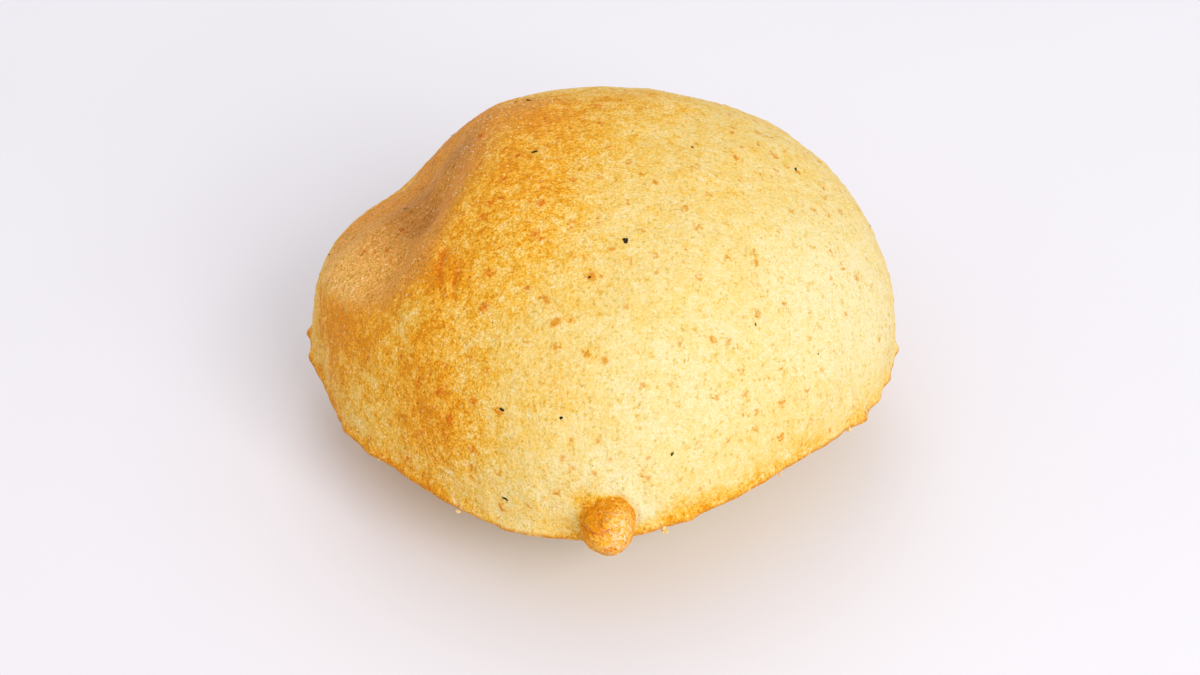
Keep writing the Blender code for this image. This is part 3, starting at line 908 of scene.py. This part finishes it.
def crust_material():
    """Fried skin, pale to golden to orange, mottled and flecked."""
    nodes = Nodes("crust")
    place = nodes.place()
    loose = place
    for size, far in FLECK_WARPS:
        loose = nodes.warped(loose, size, far)
    layers = [nodes.noise(place, size, *GRAIN_NOISE) for size, _ in GRAIN_LAYERS]
    mottle, fine, sand = layers[2:]

    # the browning, with the painted highlights of a few of its patches
    own = nodes.value("browning_and_highlights")
    uneven_browning = nodes.rise(own, *GRAIN_ON_BROWNED)
    browning_and_highlights = own
    for layer, (_, change) in zip(layers, GRAIN_LAYERS):
        change = nodes.times(nodes.sway(layer, change), uneven_browning)
        browning_and_highlights = nodes.plus(browning_and_highlights, change)
    colour = nodes.ramp(browning_and_highlights, BROWNED)

    ragged = nodes.plus(nodes.value("pressed"), nodes.sway(mottle, TAN_RAGGED))
    ragged = nodes.plus(ragged, nodes.sway(sand, TAN_RAGGED))
    tanned = nodes.rise(ragged, *PRESSED_RANGE)
    tan = nodes.mix(nodes.value("lobe"), DENT_TAN, LOBE_TAN)
    # painted shade: the tan darkened at the trough's bottom
    tan = nodes.mix(nodes.value("valley_shade"), tan, VALLEY_SHADE_TAN)
    colour = nodes.mix(tanned, colour, tan)

    toast = nodes.plus(nodes.value("toast"), nodes.sway(fine, TOAST_RAGGED))
    colour = nodes.mix(nodes.rise(toast, *TOAST_RANGE), colour, TOASTED, "MULTIPLY")
    on_browned = nodes.rise(own, *FLECKS_ON_BROWNED)
    for spacing, share, largest, softness, strength, tint in FLECKS:
        spots = nodes.times(nodes.spots(loose, spacing, share, largest, softness), strength)
        colour = nodes.mix(nodes.times(spots, on_browned), colour, tint, "MULTIPLY")
    dots = nodes.times(nodes.spots(place, *PALE_DOTS), nodes.rise(own, *DOTS_ON_BROWNED))
    colour = nodes.mix(dots, colour, PALE_GOLD)

    blush = nodes.times(nodes.value("blush"), nodes.rise(fine, *BLUSH_RANGE))
    colour = nodes.mix(blush, colour, BLUSH)
    edge = nodes.rise(nodes.value("away"), *LIP_EDGE)
    edge = nodes.times(edge, nodes.rise(mottle, *LIP_EDGE_RAGGED))
    colour = nodes.mix(edge, colour, SEAM_BROWN)

    grain = 1.0
    crisp = nodes.noise(place, CRISP_GRAIN, 1.0)
    wrinkles = nodes.noise(nodes.drawn_out(place, WRINKLES_RUN, WRINKLES_DRAWN), WRINKLES_SCALE, 2.0)
    strengths = (SAND_STRENGTH, CRISP_STRENGTH, WRINKLES_STRENGTH)
    for layer, (on_pale, on_brown, on_tan) in zip((sand, crisp, wrinkles), strengths):
        coarse = nodes.rise(own, *STRENGTH_RANGE, on_pale, on_brown)
        coarse = nodes.math("MAXIMUM", coarse, nodes.times(tanned, on_tan))
        grain = nodes.math("SUBTRACT", grain, nodes.sway(layer, coarse))
    channels = {name: nodes.math("POWER", grain, power) for name, power in GRAIN_POWERS}
    mottling = nodes.times(nodes.math("SUBTRACT", browning_and_highlights, own), DARKER_RED)
    channels["Red"] = nodes.times(channels["Red"], nodes.math("SUBTRACT", 1.0, mottling))
    grain = nodes.add("CombineColor", channels).outputs["Color"]
    colour = nodes.mix(1.0, colour, grain, "MULTIPLY")
    height = nodes.plus(sand, nodes.times(fine, SKIN_BUMP_NEXT))
    return nodes.finish(
        colour, mottle, SKIN_ROUGHNESS, height, SKIN_BUMP, Specular_IOR_Level=0.12,
        Subsurface_Weight=0.12, Subsurface_Radius=(1.0, 0.45, 0.15), Subsurface_Scale=0.003,
    )


def spice_material():
    nodes = Nodes("spice")
    fine = nodes.noise(nodes.place(), size=0.0008, detail=3.0, roughness=0.6)
    colour = nodes.mix(nodes.rise(fine, low=0.45, high=0.7), *SPICE)
    return nodes.finish(colour, fine, (0.6, 0.9), fine, bump=0.0003, Specular_IOR_Level=0.12)


def grain_and_glint_material():
    # pale grains, partly painted glints of oil
    nodes = Nodes("grain")
    fine = nodes.noise(nodes.place(), size=0.0006)
    return nodes.finish(nodes.mix(fine, *PALE_GRAIN_AND_GLINT), fine, (0.25, 0.5), fine, bump=0.0001)


def crumb_material():
    nodes = Nodes("crumb")
    fine = nodes.noise(nodes.place(), size=0.0010, detail=3.0, roughness=0.6)
    colour = nodes.mix(nodes.rise(fine, low=0.35, high=0.7), *CRUMB)
    return nodes.finish(colour, fine, (0.55, 0.8), fine, bump=0.0004)


def floor_material():
    nodes = Nodes("floor")
    slow = nodes.noise(nodes.place(), size=0.15)
    dark = tuple(FLOOR_DARKER * channel for channel in FLOOR_COLOUR[:3]) + (1.0,)
    return nodes.finish(nodes.mix(slow, FLOOR_COLOUR, dark), slow, (0.55, 0.65))


class Skin:
    """The grid of the top skin, for what lies on it."""

    def __init__(self, sheet, points):
        radius, theta = sheet
        self.flat = np.stack([radius * np.cos(theta), radius * np.sin(theta)], axis=-1)
        self.points = points
        self.normals = grid_normals(points)

    def at(self, share, azimuth):
        """The point at this share of the way to the seam, with the ways down, along and outward there."""
        turn = math.radians(azimuth)
        off = self.flat - share * np.array([math.cos(turn), math.sin(turn)])
        row, column = np.unravel_index((off ** 2).sum(-1).argmin(), off.shape[:2])
        outward = Vector(self.normals[row, column])
        away = Vector((math.cos(turn), math.sin(turn), 0.0))
        down = (away - away.dot(outward) * outward).normalized()
        return Vector(self.points[row, column]), down, outward.cross(down), outward


class Scraps:
    """Many small lumps gathered into one mesh."""

    def __init__(self, detail, roughness, draw):
        self.directions, self.faces = ball(detail)
        self.roughness = roughness
        self.draw = draw
        self.points = []
        self.all_faces = []

    def add(self, middle, axes, half):
        """One lump with its half sizes along the three axes."""
        shift = Vector(self.draw.uniform(0.0, SCRAP_DRAWS) for _ in range(3))
        start = len(self.points)
        for direction in self.directions:
            size = 1 + self.roughness * noise.noise(Vector(direction) * SCRAP_LUMPS + shift)
            offset = sum((axis * (component * length * size) for axis, component, length
                          in zip(axes, direction, half)), Vector())
            self.points.append(middle + offset + Vector(SEAM_MIDDLE))
        self.all_faces += [tuple(start + corner for corner in face) for face in self.faces]

    def finish(self, name, material):
        made = mesh_object(name, self.points, self.all_faces, material)
        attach(made, "root")


def add_specks(skin):
    """The specks that the solid has too, and pinheads between them."""
    scraps = Scraps(detail=3, roughness=0.5, draw=random.Random(SPECK_DRAW + 1))

    def add(share, azimuth, length, width, turn, stands_out):
        here, down, beside, outward = skin.at(share, azimuth)
        spin = Matrix.Rotation(math.radians(turn), 3, outward)
        thickness = min(length, SPECK_THICKNESS)
        middle = here + outward * (stands_out - thickness / 2)
        scraps.add(middle, (spin @ down, spin @ beside, outward), (length / 2, width / 2, thickness / 2))

    for speck in LARGE_SPECKS:
        add(*speck, SPECK_STANDS_OUT)
    draw = random.Random(SPECK_DRAW)
    golden_turn = 180.0 * (3.0 - math.sqrt(5.0))
    for count, reach, lengths, widths, first in SPECK_SCATTERS:
        for number in range(count):
            share = reach * math.sqrt((number + draw.random()) / count)
            azimuth = first + number * golden_turn + draw.uniform(-SPECK_STRAY, SPECK_STRAY)
            length = draw.uniform(*lengths)
            width = length * draw.uniform(*widths)
            add(share, azimuth, length, width, draw.uniform(0.0, 180.0), SPECK_STANDS_OUT / 2)
    scraps.finish("spice_specks", spice_material())


def add_grains_and_glints(skin):
    """Pale grains that stick to the skin in a few drifts; their paleness partly paints glints of oil."""
    draw = random.Random(GRAINS_DRAW)
    scraps = Scraps(detail=2, roughness=0.9, draw=draw)
    for share, azimuth, spread, count in GRAIN_AND_GLINT_PATCHES:
        for _ in range(count):
            turn = math.degrees(draw.gauss(0.0, spread) / (SEAM_RADIUS * share))
            out = share + draw.gauss(0.0, spread) / SEAM_RADIUS / FLANK_LENGTH
            here, down, beside, outward = skin.at(out, azimuth + turn)
            half = [draw.uniform(*GRAIN_SIZE) / 2 * draw.uniform(*GRAIN_UNEVEN) for _ in range(3)]
            scraps.add(here + GRAIN_STANDS_OUT * half[2] * outward, (down, beside, outward), half)
    scraps.finish("pale_grains_and_glints", grain_and_glint_material())


def add_crumbs():
    """Crumbs of fried dough along the seam."""
    draw = random.Random(CRUMBS_DRAW)
    scraps = Scraps(detail=3, roughness=0.9, draw=draw)
    for azimuth, radius in CRUMBS:
        outward = facing(azimuth, 0.0)
        above = (0.0, 0.0, draw.uniform(*CRUMB_ABOVE))
        middle = Vector(on_seam(azimuth) + (LIP_DEPTH + CRUMB_OUTSIDE) * outward + above)
        axes = (Vector(outward), Vector(facing(azimuth + 90.0, 0.0)), Vector((0.0, 0.0, 1.0)))
        scraps.add(middle, axes, [radius * draw.uniform(*CRUMB_UNEVEN) for _ in range(3)])
    scraps.finish("crumbs", crumb_material())


def add_floor():
    half = FLOOR_SIZE / 2
    corners = [(-half, -half, 0.0), (half, -half, 0.0), (half, half, 0.0), (-half, half, 0.0)]
    mesh_object("floor", corners, [(0, 1, 2, 3)], floor_material())


def aim(thing, place, target):
    thing.location = place
    thing.rotation_euler = (Vector(target) - Vector(place)).to_track_quat("-Z", "Y").to_euler()


def add_camera():
    camera = bpy.data.objects.new("camera", bpy.data.cameras.new("camera"))
    camera.data.lens = CAMERA_LENS
    camera.data.sensor_width = CAMERA_SENSOR
    bpy.context.scene.collection.objects.link(camera)
    back = CAMERA_DISTANCE * Vector(facing(-90.0, CAMERA_ELEVATION))
    aim(camera, Vector(CAMERA_AIM) + back, CAMERA_AIM)
    bpy.context.scene.camera = camera


def add_light():
    for name, azimuth, elevation, power in LAMPS:
        lamp = bpy.data.objects.new(name, bpy.data.lights.new(name, "AREA"))
        lamp.data.size = LIGHT_SIZE
        lamp.data.energy = power
        bpy.context.scene.collection.objects.link(lamp)
        aim(lamp, Vector(LIGHT_AIM) + LIGHT_DISTANCE * Vector(facing(azimuth, elevation)), LIGHT_AIM)
    world = bpy.data.worlds.new("studio")
    world.use_nodes = True
    glow = world.node_tree.nodes["Background"].inputs
    glow["Color"].default_value = (1.0, 1.0, 1.0, 1.0)
    glow["Strength"].default_value = STUDIO_LIGHT
    bpy.context.scene.world = world
    bpy.context.scene.view_settings.view_transform = "Standard"


skin = Skin(*add_bread(crust_material()))
add_specks(skin)
add_grains_and_glints(skin)
add_crumbs()
add_floor()
add_light()
add_camera()
